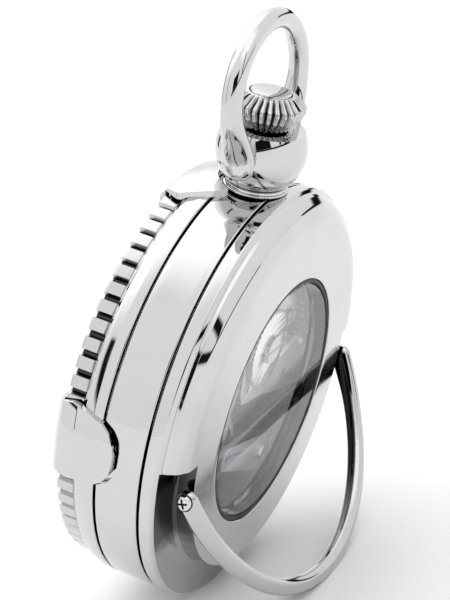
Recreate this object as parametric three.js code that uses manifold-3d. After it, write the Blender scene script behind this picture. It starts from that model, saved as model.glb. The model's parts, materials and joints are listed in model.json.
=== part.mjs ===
// Open-back pocket watch with a hinged, lugged lid, a folding stand loop, a bow and a skeleton movement.
// Millimetres. The watch is drawn upright: +X is 3 o'clock, +Y is the back, +Z is 12 o'clock.
// The finished watch then leans back onto its stand loop and is set down on z = 0.

import * as THREE from 'three';
import Module from 'manifold-3d';
import { mergeVertices } from 'three/addons/utils/BufferGeometryUtils.js';

const wasm = await Module();
wasm.setup();

// ---- driving dimensions

const roundSteps = 40; // facets round the case
const seamGap = 0.3; // open line between lid, band and back
const gap = 0.06; // clearance between parts that lie against each other

const caseRadius = 25;
const bandHalf = 2.55; // half the width of the middle band
const lipRadius = 23.4;
const lipReach = 3.3;
const bandBore = 22.4;

const lidFace = -(bandHalf + seamGap); // where the lid meets the band
const ringSeat = -5.75; // back of the milled ring
const ringFront = -8.0;
const millTeeth = 70;
const milledRadius = 24.1;

const backFace = bandHalf + seamGap;
const backPlane = 7; // flat annulus round the window
const windowRadius = 14.95;
const crystalRadius = 14.35;
const channelFloor = 20.35; // the loop folds into this channel round the lower half
const channelWall = 4.6;
const channelTop = 1;

const wireRadius = 1.05;
const loopRadius = 21.8;
const loopPivot = { y: 6.9, z: -2.8 };
const loopOpening = THREE.MathUtils.degToRad(32.5);

const ballCentre = 29.7;
const ballRadius = 5.2;
const ballTop = 32.2;
const bowTilt = THREE.MathUtils.degToRad(5.45);

const hinge = { x: -25.6, y: -2.0, radius: 1.0 };

const restCut = 0.25; // depth of the two small flats that the watch stands on

const plateBack = -1.0; // movement face that the wheels run above
const bridgeFace = 2.3;
const bridgeBack = 3.4;

// Centres of the wheels, [x, z].
const barrelAt = [-3.0, 4.6];
const crownWheelAt = [0, 11.56];
const centreAt = [0, 0];
const thirdAt = [3.9, 3.2];
const fourthAt = [6.5, 0];
const escapeAt = [5.6, -3.41];
const forkAt = [4.5, -5.43];
const balanceAt = [3.0, -8.2];
const minuteWheelAt = [-2.39, -2.39];
const clickAt = [-9.6, 6.4];

// ---- solids

// A closed Manifold from any three.js geometry.
function solid(geometry) {
  const bare = geometry.clone();
  bare.deleteAttribute('normal');
  bare.deleteAttribute('uv');
  const merged = mergeVertices(bare, 1e-4);
  const corners = merged.index.array;
  const kept = [];
  for (let i = 0; i < corners.length; i += 3) {
    const [a, b, c] = [corners[i], corners[i + 1], corners[i + 2]];
    if (a !== b && b !== c && c !== a) kept.push(a, b, c);
  }
  const vertProperties = new Float32Array(merged.attributes.position.array);
  return new wasm.Manifold(new wasm.Mesh({ numProp: 3, vertProperties, triVerts: new Uint32Array(kept) }));
}

function geometryOf(body) {
  const mesh = body.getMesh();
  const geometry = new THREE.BufferGeometry();
  geometry.setAttribute('position', new THREE.BufferAttribute(mesh.vertProperties, 3));
  geometry.setIndex(new THREE.BufferAttribute(mesh.triVerts, 1));
  geometry.computeVertexNormals();
  return geometry;
}

function join(first, ...others) {
  return others.reduce((body, other) => body.add(other), first);
}

function cut(first, ...others) {
  return others.reduce((body, other) => body.subtract(other), first);
}

// A turned geometry about the Y axis from [radius, y] points; a profile off the axis is closed on itself.
function turned(profile, steps = roundSteps) {
  let area = 0;
  profile.forEach(([r, y], i) => {
    const [nextR, nextY] = profile[(i + 1) % profile.length];
    area += r * nextY - nextR * y;
  });
  const points = (area > 0 ? profile : [...profile].reverse()).map(([r, y]) => new THREE.Vector2(r, y));
  if (points.every((point) => point.x > 0)) points.push(points[0].clone());
  return new THREE.LatheGeometry(points, steps);
}

const turnedSolid = (profile, steps) => solid(turned(profile, steps));

// The same about the Z axis, from [radius, z] points.
const uprightSolid = (profile, steps) => solid(turned(profile, steps).rotateX(Math.PI / 2));

// An outline in the XZ plane, [x, z] points, from y0 to y1.
function plate(outline, y0, y1, holes = []) {
  const shape = new THREE.Shape(outline.map(([x, z]) => new THREE.Vector2(x, z)));
  shape.holes = holes.map((hole) => new THREE.Path(hole.map(([x, z]) => new THREE.Vector2(x, z))));
  const geometry = new THREE.ExtrudeGeometry(shape, { depth: y1 - y0, bevelEnabled: false });
  return solid(geometry.rotateX(Math.PI / 2).translate(0, y1, 0));
}

function rod(radius, y0, y1, [x, z] = [0, 0], steps = 16) {
  const geometry = new THREE.CylinderGeometry(radius, radius, y1 - y0, steps);
  return solid(geometry.translate(x, (y0 + y1) / 2, z));
}

function rodAlongZ(radius, z0, z1, x = 0, y = 0, steps = 20) {
  const geometry = new THREE.CylinderGeometry(radius, radius, z1 - z0, steps).rotateX(Math.PI / 2);
  return solid(geometry.translate(x, y, (z0 + z1) / 2));
}

function rodAlongX(radius, x0, x1, y, z, steps = 16) {
  const geometry = new THREE.CylinderGeometry(radius, radius, x1 - x0, steps).rotateZ(Math.PI / 2);
  return solid(geometry.translate((x0 + x1) / 2, y, z));
}

function block(size, centre, turnX = 0) {
  return solid(new THREE.BoxGeometry(...size).rotateX(turnX).translate(...centre));
}

// ---- outlines

const radians = THREE.MathUtils.degToRad;
const polar = (radius, degrees) => [radius * Math.cos(radians(degrees)), radius * Math.sin(radians(degrees))];
const shifted = (points, [x, z]) => points.map(([px, pz]) => [px + x, pz + z]);

function arc(radius, from, to, steps) {
  return Array.from({ length: steps + 1 }, (_, i) => polar(radius, from + ((to - from) * i) / steps));
}

function circle(radius, centre = [0, 0], steps = 16) {
  return shifted(arc(radius, 0, 360, steps).slice(0, -1), centre);
}

function arcBand(inner, outer, from, to, steps = 8) {
  return [...arc(outer, from, to, steps), ...arc(inner, to, from, steps)];
}

// Teeth with flat tips, four points each; phase turns the first tooth's middle, in degrees.
function teeth(count, tip, root, phase = 0) {
  const pitch = 360 / count;
  const outline = [];
  for (let i = 0; i < count; i++) {
    const middle = phase + i * pitch;
    outline.push(polar(root, middle - 0.32 * pitch), polar(tip, middle - 0.14 * pitch));
    outline.push(polar(tip, middle + 0.14 * pitch), polar(root, middle + 0.32 * pitch));
  }
  return outline;
}

// Pointed teeth, two points each.
function points(count, tip, root) {
  const outline = [];
  for (let i = 0; i < count; i++) {
    outline.push(polar(tip, (i * 360) / count), polar(root, ((i + 0.5) * 360) / count));
  }
  return outline;
}

// Windows between the arms of a wheel.
function spokeWindows(count, inner, outer, armDegrees) {
  const windows = [];
  for (let i = 0; i < count; i++) {
    const from = (i * 360) / count + armDegrees / 2;
    windows.push(arcBand(inner, outer, from, from + 360 / count - armDegrees, 3));
  }
  return windows;
}

// A three-armed wheel with its pinion and arbor, one turned piece.
function arboredWheel({ at, wheel, pinion, arbor }) {
  const windows = spokeWindows(3, wheel.tip * 0.36, wheel.root * 0.84, 26);
  const rimOutline = shifted(points(wheel.count, wheel.tip, wheel.root), at);
  const rim = plate(rimOutline, ...wheel.y, windows.map((window) => shifted(window, at)));
  const pinionRoot = pinion.tip * 0.7;
  const leaves = plate(shifted(points(pinion.count, pinion.tip, pinionRoot), at), ...pinion.y);
  const hubRadius = Math.max(arbor.radius * 1.6, pinionRoot);
  const hub = rod(hubRadius, Math.min(...wheel.y, ...pinion.y), Math.max(...wheel.y, ...pinion.y), at, 8);
  return join(rim, leaves, hub, rod(arbor.radius, ...arbor.y, at, 8));
}

// A slotted screw along Y: its head ends at y1, its shank reaches down to y0.
function screw(at, headRadius, headHeight, shankRadius, y0, y1) {
  const slot = block([headRadius * 2.4, headHeight * 0.9, headRadius * 0.26], [at[0], y1, at[1]]);
  const head = rod(headRadius, y1 - headHeight, y1, at, 12);
  return cut(join(head, rod(shankRadius, y0, y1 - headHeight * 0.6, at, 8)), slot);
}

// A round wire along a curve.
function wire(curve, radius, steps, sides = 10) {
  const section = new THREE.Shape(circle(radius, [0, 0], sides).map(([x, y]) => new THREE.Vector2(x, y)));
  return solid(new THREE.ExtrudeGeometry(section, { steps, extrudePath: curve, bevelEnabled: false }));
}

// A flat spiral strip, drawn as one outline.
function spiral(inner, outer, turns, width, at, y0, y1) {
  const steps = Math.round(turns * 10);
  const side = (offset) => Array.from({ length: steps + 1 }, (_, i) => {
    const t = i / steps;
    return polar(inner + (outer - inner) * t + offset, t * turns * 360);
  });
  const outline = [...side(width / 2), ...side(-width / 2).reverse()];
  return plate(shifted(outline, at), y0, y1);
}

// ---- materials and the assembly

function finish(color, roughness, metalness) {
  return () => new THREE.MeshStandardMaterial({ color, roughness, metalness });
}

const polishedSteel = finish(0xdcdddf, 0.08, 1);
const darkSteel = finish(0x8a8c90, 0.2, 1);
const greySteel = finish(0xb9bac2, 0.3, 1);
const brass = finish(0xd8b878, 0.3, 1);
const blackRubber = finish(0x101010, 0.6, 0);
const whiteEnamel = finish(0xf4f2ec, 0.3, 0);
const blueSteel = finish(0x20386e, 0.2, 1);
const clearGlass = () => new THREE.MeshStandardMaterial({
  color: 0xeef2f4,
  roughness: 0.02,
  metalness: 0,
  transparent: true,
  opacity: 0.3,
});

const watch = new THREE.Group();

function add(name, body, material) {
  const mesh = new THREE.Mesh(geometryOf(body), material());
  mesh.name = name;
  watch.add(mesh);
  return mesh;
}

// ---- lean and the two small flats it stands on

const rimLow = { y: 4.3, z: -caseRadius };
const loopLow = {
  y: loopPivot.y + (loopRadius + loopPivot.z) * Math.sin(loopOpening),
  z: loopPivot.z - (loopRadius + loopPivot.z) * Math.cos(loopOpening),
};

// The lean at which the rim and the loop touch the same floor, by bisection.
function findLean() {
  let low = 0;
  let high = Math.PI / 3;
  const drop = ({ y, z }, lean) => z * Math.cos(lean) - y * Math.sin(lean);
  for (let i = 0; i < 50; i++) {
    const lean = (low + high) / 2;
    if (drop(rimLow, lean) < drop(loopLow, lean) - wireRadius) low = lean;
    else high = lean;
  }
  return low;
}

const lean = findLean();
const floorDepth = rimLow.z * Math.cos(lean) - rimLow.y * Math.sin(lean) + restCut;

// Everything under the floor, in the upright frame.
function underFloor() {
  const depth = 10;
  const centre = floorDepth - depth / 2;
  return block([60, 80, depth], [0, -centre * Math.sin(lean), centre * Math.cos(lean)], lean);
}

// ---- lugs: shield-shaped claws over the milled ring

const lugShell = [
  [21.9, -8.75], [23.7, -8.75], [25.0, -7.7], [25.75, -5.7], [26.05, -3.2], [25.95, -0.5],
  [caseRadius + gap, -0.5], [caseRadius + gap, -4.3], [24.8, -5.2], [milledRadius + 0.4, -5.75],
  [milledRadius + 0.4, ringFront - gap], [21.9, ringFront - gap],
];
const thumbLug = [[4.0, -8.8], [4.6, -6.4], [3.75, -2.6], [2.9, -1.5], [1.7, -0.75], [0.6, -0.55]];
const wingLug = [[5.6, -8.8], [6.8, -6.2], [5.3, -2.7], [4.1, -1.5], [2.2, -0.75], [0.7, -0.55]];
const hingeLug = [[4.0, -8.8], [4.6, -6.4], [3.75, -3.6]];
const lugSides = { 3: 2, 9: 178, 12: 90, 6: 270 }; // degrees from 3 o'clock towards 12

// A claw's outline, [across, y], pushed out through the case side at an angle; grow widens it for its notch.
function lugBlank(half, degrees, grow = 0) {
  const right = half.map(([s, y]) => [s + grow, y + (y > -2 ? grow : 0)]);
  const left = right.map(([s, y]) => [-s, y]).reverse();
  const shape = new THREE.Shape([...right, ...left].map(([s, y]) => new THREE.Vector2(s, y)));
  const geometry = new THREE.ExtrudeGeometry(shape, { depth: 10, bevelEnabled: false });
  // The outline's x runs across the claw and its y along the watch's Y; the push goes out along the radius.
  geometry.translate(0, 0, 19);
  geometry.rotateY(Math.PI / 2 - radians(degrees));
  return solid(geometry);
}

const lug = (half, degrees) => turnedSolid(lugShell, roundSteps).intersect(lugBlank(half, degrees));

// ---- case

const knuckle = (z0, z1, radius = hinge.radius) => rodAlongZ(radius, z0, z1, hinge.x, hinge.y);
const pinHole = () => rodAlongZ(0.5, -5, 5, hinge.x, hinge.y);
const notchRadius = 24.35;

// The band: lips for the lid and the back, claw notches, the hinge's outer knuckles and the pendant's hole.
function midCase() {
  const band = turnedSolid([
    [bandBore, -lipReach], [lipRadius, -lipReach], [lipRadius, -bandHalf],
    [caseRadius - 0.15, -bandHalf], [caseRadius, 0.15 - bandHalf],
    [caseRadius, bandHalf - 0.15], [caseRadius - 0.15, bandHalf],
    [lipRadius, bandHalf], [lipRadius, lipReach], [bandBore, lipReach],
  ]);
  const outside = turnedSolid([[notchRadius, -bandHalf - 1], [30, -bandHalf - 1], [30, 1], [notchRadius, 1]]);
  const notches = [lugBlank(thumbLug, lugSides[3], 0.35), lugBlank(wingLug, lugSides[6], 0.35)]
    .map((blank) => blank.intersect(outside));
  const hingeRoom = knuckle(-4.4, 4.4, hinge.radius + 0.15);
  const outerKnuckles = [knuckle(2.1, 4.1), knuckle(-4.1, -2.1)].map((part) => cut(part, pinHole()));
  const webs = [3.1, -3.1].map((z) => cut(block([1.6, 0.9, 2], [-24.7, -1.6, z]), pinHole()));
  return join(cut(band, ...notches, hingeRoom, rodAlongZ(2.3, 20, 27)), ...webs, ...outerKnuckles);
}

// Collar, ball and the bore for the stem, with a blind hole each side for the bow.
function pendant() {
  const ball = [];
  const from = Math.asin((25.75 - ballCentre) / ballRadius);
  const to = Math.asin((ballTop - ballCentre) / ballRadius);
  for (let i = 0; i <= 7; i++) {
    const angle = from + ((to - from) * i) / 7;
    ball.push([ballRadius * Math.cos(angle), ballCentre + ballRadius * Math.sin(angle)]);
  }
  const collar = [[2.2, 25.05], [3.7, 25.05], [3.7, 25.5], [3.35, 25.6]];
  const profile = [[0.95, 22.6], [2.2, 22.6], ...collar, ...ball, [0.95, ballTop]];
  const holes = [-1, 1].map((side) => rodAlongX(0.75, side * 4.9 - 1.1, side * 4.9 + 1.1, 0, ballCentre));
  return cut(uprightSolid(profile, 24), ...holes);
}

// The back: flat annulus, rolled shoulder, and the channel round its lower half for the folded loop.
function backCover() {
  const shell = turnedSolid([
    [23.6, backFace], [caseRadius - 0.15, backFace], [caseRadius, backFace + 0.15], [caseRadius, 4.2],
    [24.75, 4.65], [24.35, 4.85], [24.1, 5.4], [23.4, 6.25], [22.4, 6.8], [21.4, backPlane],
    [windowRadius, backPlane], [windowRadius, 5.6], [13.9, 5.6], [13.9, 5.1],
    [19.3, 5.1], [19.3, 3.5], [23.6, 3.5],
  ]);
  const channel = turnedSolid([[channelFloor, channelWall], [27, channelWall], [27, 9], [channelFloor, 9]])
    .intersect(block([60, 20, 40], [0, 7, channelTop - 20]));
  const boss = { x: 19.6, y: loopPivot.y - 0.9 };
  const screwHoles = [-1, 1]
    .map((side) => rodAlongX(0.5, side * boss.x - 1.2, side * boss.x + 1.2, boss.y, loopPivot.z));
  return cut(shell, channel, ...screwHoles, underFloor());
}

function lidFrame() {
  const frame = turnedSolid([
    [19.8, -7.4], [22.1, -7.4], [22.1, ringSeat], [24.35, ringSeat], [24.7, -5.2], [24.95, -4.3],
    [caseRadius, lidFace - 0.15], [caseRadius - 0.15, lidFace], [23.6, lidFace], [23.6, -4.95], [21.4, -4.95],
    [21.4, -6.6], [19.8, -6.6],
  ]);
  const arm = block([1.7, 0.9, 3.6], [-24.85, -3.0, 0]);
  const room = knuckle(-4.4, 4.4, hinge.radius + 0.15);
  return join(cut(frame, room), cut(join(arm, knuckle(-1.9, 1.9)), pinHole()));
}

// The coin-edge ring: square teeth round a plain ring.
function milledRing() {
  const outline = teeth(millTeeth, milledRadius, milledRadius - 0.9, 3.6);
  return plate(outline, ringFront, ringSeat - gap, [circle(22.2, [0, 0], roundSteps)]);
}

// ---- stand loop and bow

class LoopCurve extends THREE.Curve {
  getPoint(t, target = new THREE.Vector3()) {
    const ends = 3.0; // degrees that each arm runs past its screw
    const start = -7.4 + ends;
    const [x, z] = polar(loopRadius, start - t * (180 + 2 * start));
    return target.set(x, 0, z);
  }
}

function standLoop() {
  const geometry = geometryOf(wire(new LoopCurve(), wireRadius, 30, 8));
  geometry.translate(0, 0, -loopPivot.z).rotateX(loopOpening).translate(0, loopPivot.y, loopPivot.z);
  const bore = (side, radius, x, half) => (
    rodAlongX(radius, side * x - half, side * x + half, loopPivot.y, loopPivot.z)
  );
  const screwSeats = [-1, 1].flatMap((side) => [bore(side, 0.55, 21.6, 1.6), bore(side, 1.0, 22.9, 0.7)]);
  return cut(solid(geometry), ...screwSeats, underFloor());
}

function standScrew(side) {
  const head = rodAlongX(0.92, side * 22.5 - 0.22, side * 22.5 + 0.22, loopPivot.y, loopPivot.z, 20);
  const cross = [[0.5, 1.2, 0.3], [0.5, 0.3, 1.2]]
    .map((size) => block(size, [side * 22.75, loopPivot.y, loopPivot.z], radians(20)));
  const shank = rodAlongX(0.42, side * 21.35 - 1.0, side * 21.35 + 1.0, loopPivot.y, loopPivot.z, 12);
  return cut(join(head, shank), ...cross);
}

class BowCurve extends THREE.Curve {
  getPoint(t, target = new THREE.Vector3()) {
    const angle = radians(-42 + 264 * t);
    return target.set(8.72 * Math.cos(angle), 0, 36.63 - ballCentre + 7.48 * Math.sin(angle));
  }
}

// The bow is drawn with its pivot at the origin, then tipped forward and lifted onto the ball.
function bow() {
  const pieces = [-1, 1].flatMap((side) => {
    const eye = new THREE.SphereGeometry(1, 10, 8).scale(0.82, 1.75, 2.5).rotateY(side * 0.12);
    const pin = rodAlongX(0.65, side * 5.0 - 1.0, side * 5.0 + 1.0, 0, 0);
    return [solid(eye.translate(side * 6.25, 0, 0.7)), pin];
  });
  const geometry = geometryOf(join(wire(new BowCurve(), 1.18, 24, 8), ...pieces));
  return solid(geometry.rotateX(bowTilt).translate(0, 0, ballCentre));
}

// ---- crown, button and stem

const crownTop = 36.25;

function crown() {
  const fluteCount = 24;
  const geometry = turned([
    [0.78, 32.45], [2.8, 32.45], [3.2, 32.9], [3.85, 33.8], [4.2, 34.8], [4.05, 35.15], [2.75, crownTop],
    [2.4, crownTop], [2.4, 35.0], [0.78, 35.0],
  ], fluteCount * 2);
  const position = geometry.attributes.position;
  const fluteDepth = 0.88;
  for (let i = 0; i < position.count; i++) {
    const [x, z] = [position.getX(i), position.getZ(i)];
    const column = Math.round((Math.atan2(x, z) / Math.PI) * fluteCount);
    const isFlute = Math.abs(column) % 2 === 1 && Math.hypot(x, z) > 2.78;
    if (isFlute) position.setXYZ(i, x * fluteDepth, position.getY(i), z * fluteDepth);
  }
  return solid(geometry.rotateX(Math.PI / 2));
}

function crownButton() {
  return uprightSolid([[0, 35.7], [2.28, 35.7], [2.28, 36.35], [1.9, 36.45], [0, 36.5]], 28);
}

// ---- movement

const bridgeHoles = {
  barrel: [-15.2, 0.9],
  upper: [-7.6, 10.8],
  right: [6.2, 12.4],
  train: [12.2, 3.6],
  lower: [11.8, -2.6],
};
const cockFoot = [-7.6, -12.0];

function mainPlate() {
  const pivots = [barrelAt, centreAt, thirdAt, fourthAt, escapeAt, forkAt, balanceAt];
  const holes = pivots.map((at) => circle(0.45, at, 10));
  const body = plate(circle(19, [0, 0], roundSteps), -2.2, plateBack, holes);
  return cut(body, block([3.6, 3, 3.6], [0, plateBack, 16.9])); // room for the pinion, stem pushed or pulled
}

// A bridge and the feet it stands on.
function bridge(outline, feet, holes) {
  const stand = feet.map((foot) => plate(foot, plateBack + gap, bridgeFace + 0.1));
  return join(plate(outline, bridgeFace, bridgeBack, holes), ...stand);
}

function barrelBridge() {
  const outline = [
    ...arc(17.8, 45, 200, 20), [-9.5, -4.2], [-4.5, -2.6], [-1.2, -2.0], [1.2, -1.5], [2.0, 0.2],
    [2.0, 3.0], [3.4, 5.6], [6.8, 8.4],
  ];
  const windows = [
    arcBand(10.8, 15.6, 152, 171, 6), arcBand(10.6, 15.6, 189, 196, 3), arcBand(12.2, 15.6, 101, 118, 6),
    arcBand(12.4, 15.6, 132, 147, 5),
  ];
  const holes = [circle(1.0, barrelAt, 14), circle(0.55, crownWheelAt, 12), circle(0.45, centreAt, 10)];
  const screws = [bridgeHoles.barrel, bridgeHoles.upper, bridgeHoles.right, clickAt]
    .map((at) => circle(0.5, at, 12));
  const feet = [arcBand(15.9, 17.6, 62, 80), arcBand(15.9, 17.6, 120, 131), arcBand(15.9, 17.6, 174, 186)];
  return bridge(outline, feet, [...windows, ...holes, ...screws]);
}

function trainBridge() {
  const outline = [
    ...arc(17.8, -22, 40, 10), [7.4, 7.6], [4.4, 5.6], [2.7, 3.4], [2.7, 1.0], [3.9, -1.6], [4.2, -4.2],
    [5.4, -4.8], [7.3, -4.4], [9.5, -3.8],
  ];
  const windows = [
    arcBand(8.6, 11.0, -10, 12, 5), arcBand(13.6, 15.6, -14, 32, 7),
    [[6.0, 3.0], [8.6, 3.6], [8.0, 5.6], [6.4, 5.0]],
  ];
  const holes = [thirdAt, fourthAt, escapeAt].map((at) => circle(0.4, at, 10));
  const screws = [bridgeHoles.train, bridgeHoles.lower].map((at) => circle(0.5, at, 12));
  const feet = [arcBand(15.9, 17.6, -18, -4), arcBand(15.9, 17.6, 20, 36)];
  return bridge(outline, feet, [...windows, ...holes, ...screws]);
}

// The cock reaches from its foot to a head over the balance.
function balanceCock() {
  const toHead = Math.atan2(balanceAt[1] - cockFoot[1], balanceAt[0] - cockFoot[0]) / radians(1);
  const head = shifted(arc(1.5, toHead - 90, toHead + 90, 8), balanceAt);
  const foot = shifted(arc(2.4, toHead + 90, toHead + 270, 8), cockFoot);
  const holes = [circle(0.35, balanceAt, 10), circle(0.5, cockFoot, 12)];
  const arm = plate([...head, ...foot], 2.6, 3.5, holes);
  return join(arm, cut(rod(2.2, plateBack + gap, 2.8, cockFoot, 20), rod(0.5, 0.5, 3, cockFoot, 12)));
}

function palletBridge() {
  const outline = [[3.9, -4.7], [5.1, -4.9], [9.4, -7.2], [9.4, -8.6], [8.0, -8.6], [4.3, -6.3]];
  const arm = plate(outline, 0.9, 1.4, [circle(0.3, forkAt, 10)]);
  return join(arm, rod(0.8, plateBack + gap, 1.2, [8.6, -7.9], 14));
}

// Drum open at the back, toothed round its front edge.
function barrelDrum() {
  const cup = cut(rod(4.2, -0.8, 0.62, barrelAt, 24), rod(3.9, -0.5, 2, barrelAt, 24));
  const rim = plate(shifted(points(72, 4.6, 4.4), barrelAt), -0.75, -0.2, [circle(4.1, barrelAt, 24)]);
  return cut(join(cup, rim), rod(1.0, -2, 2, barrelAt, 14));
}

function palletFork() {
  const towards = Math.atan2(escapeAt[1] - forkAt[1], escapeAt[0] - forkAt[0]) / radians(1);
  const anchor = shifted(arcBand(2.15, 2.62, towards + 180 - 50, towards + 180 + 50, 10), escapeAt);
  const lever = [[-0.2, -0.35], [-2.2, -0.22], [-2.3, 0.22], [-0.2, 0.35]]
    .map(([u, v]) => {
      const [x, z] = polar(Math.hypot(u, v), towards + Math.atan2(v, u) / radians(1));
      return [x + forkAt[0], z + forkAt[1]];
    })
    .reverse();
  return join(plate(anchor, -0.55, -0.25), plate(lever, -0.55, -0.25), rod(0.42, -0.55, -0.25, forkAt, 12),
    rod(0.2, -2.1, 1.3, forkAt, 10));
}

function balanceWheel() {
  const windows = spokeWindows(3, 0.9, 4.15, 9);
  const wheel = plate(circle(4.85, balanceAt, 36), 1.5, 1.95, windows.map((w) => shifted(w, balanceAt)));
  const staff = [[0.2, -2.1, 3.4], [0.55, -0.6, -0.15], [0.35, -0.3, 2.0], [0.6, 1.95, 2.35]]
    .map(([radius, y0, y1]) => rod(radius, y0, y1, balanceAt, 12));
  return join(wheel, ...staff);
}

// A tapered hand from a hub towards a clock angle, in degrees from 12.
function hand(at, clockDegrees, length, width, hub, y0, y1) {
  const half = [[-0.25 * length, 0.6 * width], [0, width], [0.72 * length, width * 0.8], [length, 0.12]];
  const outline = [...half, ...half.map(([u, v]) => [u, -v]).reverse()].map(([u, v]) => {
    const turn = radians(90 - clockDegrees);
    return [at[0] + u * Math.cos(turn) - v * Math.sin(turn), at[1] + u * Math.sin(turn) + v * Math.cos(turn)];
  });
  return join(plate(outline.reverse(), y0, y1), rod(hub, y0, y1, at, 12));
}

function minuteHand() {
  const leaves = plate(teeth(10, 0.9, 0.65), -2.9, -2.45);
  return join(hand(centreAt, 60, 15.5, 0.5, 1.1, -4.8, -4.6), rod(0.52, -4.8, -2.4, centreAt, 14), leaves);
}

function hourHand() {
  const wheel = plate(points(32, 2.6, 2.4), -3.35, -3.05);
  const pipe = rod(1.0, -4.5, -3.1, centreAt, 16);
  const bore = rod(0.62, -6, -2, centreAt, 14);
  return cut(join(hand(centreAt, 305, 10.5, 0.75, 1.5, -4.5, -4.35), pipe, wheel), bore);
}

// ---- put it together

add('mid_case', midCase(), polishedSteel);
add('pendant', pendant(), polishedSteel);
add('back_cover', backCover(), polishedSteel);
add('back_gasket', turnedSolid([[14.42, 5.7], [14.88, 5.7], [14.88, 6.9], [14.42, 6.9]]), blackRubber);
add('back_crystal', turnedSolid([
  [0, 5.7], [crystalRadius, 5.7], [crystalRadius, 6.7], [crystalRadius - 0.2, 6.85], [0, 6.85],
]), clearGlass);
add('stand_screw_right', standScrew(1), darkSteel);
add('stand_screw_left', standScrew(-1), darkSteel);
add('hinge_pin', rodAlongZ(0.42, -4.1, 4.1, hinge.x, hinge.y, 16), darkSteel);
add('dial_bezel', turnedSolid([
  [20.6, -5.9], [21.2, -5.9], [21.2, -4.7], [22.3, -4.7], [22.3, -3.4], [20.6, -3.4],
]), polishedSteel);
add('dial_crystal', turnedSolid([[0, -5.6], [20.5, -5.6], [20.5, -5.0], [0, -5.0]]), clearGlass);
const dialHoles = [circle(1.15), circle(0.5, fourthAt, 12)];
add('dial', plate(circle(20.5, [0, 0], roundSteps), -3.8, -3.5, dialHoles), whiteEnamel);
add('movement_ring', cut(
  turnedSolid([[19.15, -3.3], [20.9, -3.3], [20.9, 2.2], [19.15, 2.2]]),
  rodAlongZ(1.1, 17, 23),
), greySteel);
add('main_plate', mainPlate(), greySteel);
add('barrel_bridge', barrelBridge(), greySteel);
add('train_bridge', trainBridge(), greySteel);
add('balance_cock', balanceCock(), greySteel);
add('pallet_bridge', palletBridge(), greySteel);
add('hairspring', spiral(1.0, 2.9, 3.5, 0.1, balanceAt, 2.05, 2.3), blueSteel);
add('lid_catch', plate(arcBand(21.3, 22.1, 7, 60, 12).map(([x, z]) => [z, x]).reverse(), -1, 1), darkSteel);
add('lid_lift_spring', plate(arcBand(21.3, 22.1, 150, 210, 12), -1, 1), darkSteel);
Object.entries(bridgeHoles).forEach(([place, at]) => {
  add(`bridge_screw_${place}`, screw(at, 1.0, 0.5, 0.42, 1.0, bridgeBack + gap + 0.5), darkSteel);
});
add('cock_screw', screw(cockFoot, 1.0, 0.5, 0.42, 1.0, 3.5 + gap + 0.5), darkSteel);

add('lid_frame', lidFrame(), polishedSteel);
add('milled_ring', milledRing(), polishedSteel);
add('lid_crystal', turnedSolid([[0, -7.4], [19.7, -7.4], [19.7, -6.6], [0, -6.6]]), clearGlass);
add('lid_lug_3', lug(thumbLug, lugSides[3]), polishedSteel);
add('lid_lug_6', lug(wingLug, lugSides[6]), polishedSteel);
add('lid_lug_9', cut(lug(hingeLug, lugSides[9]), knuckle(-5, 5, hinge.radius + 0.2)), polishedSteel);
add('lid_lug_12', cut(lug(wingLug, lugSides[12]), rodAlongZ(4.3, 20, 30)), polishedSteel);

add('stand_loop', standLoop(), polishedSteel);
add('bow', bow(), polishedSteel);
add('winding_stem', rodAlongZ(0.65, 14.6, 34.6), darkSteel);
add('crown', crown(), polishedSteel);
add('crown_button', crownButton(), polishedSteel);
add('winding_pinion', cut(
  solid(new THREE.CylinderGeometry(1.45, 1.45, 1.8, 24).rotateX(Math.PI / 2).translate(0, 0, 16.5)),
  rodAlongZ(0.75, 14, 19),
), darkSteel);

add('barrel_drum', barrelDrum(), brass);
add('mainspring', spiral(1.3, 3.6, 4, 0.16, barrelAt, -0.4, 0.4), darkSteel);
add('barrel_cover', plate(circle(3.82, barrelAt, 32), 0.46, 0.6, [circle(1.0, barrelAt, 14)]), brass);
add('barrel_arbor', rod(0.9, plateBack + gap, 3.54, barrelAt, 16), darkSteel);
const ratchetTeeth = shifted(points(42, 4.9, 4.4), barrelAt);
add('ratchet_wheel', plate(ratchetTeeth, 3.6, 4.15, [circle(0.55, barrelAt, 12)]), polishedSteel);
add('ratchet_screw', screw(barrelAt, 1.75, 0.5, 0.45, 3.62, 4.71), polishedSteel);
const crownWheelTeeth = shifted(points(22, 2.58, 2.1), crownWheelAt);
add('crown_wheel', plate(crownWheelTeeth, 3.6, 4.1, [circle(0.6, crownWheelAt, 12)]), polishedSteel);
add('crown_wheel_screw', screw(crownWheelAt, 1.3, 0.4, 0.45, 2.6, 4.56), polishedSteel);
add('click', join(
  plate([[-10.3, 5.9], [-9.4, 5.5], [-8.3, 5.5], [-8.15, 6.0], [-8.8, 7.1], [-9.9, 7.2]], 3.6, 4.05),
  rod(0.4, 2.5, 3.8, clickAt, 12),
), darkSteel);

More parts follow.
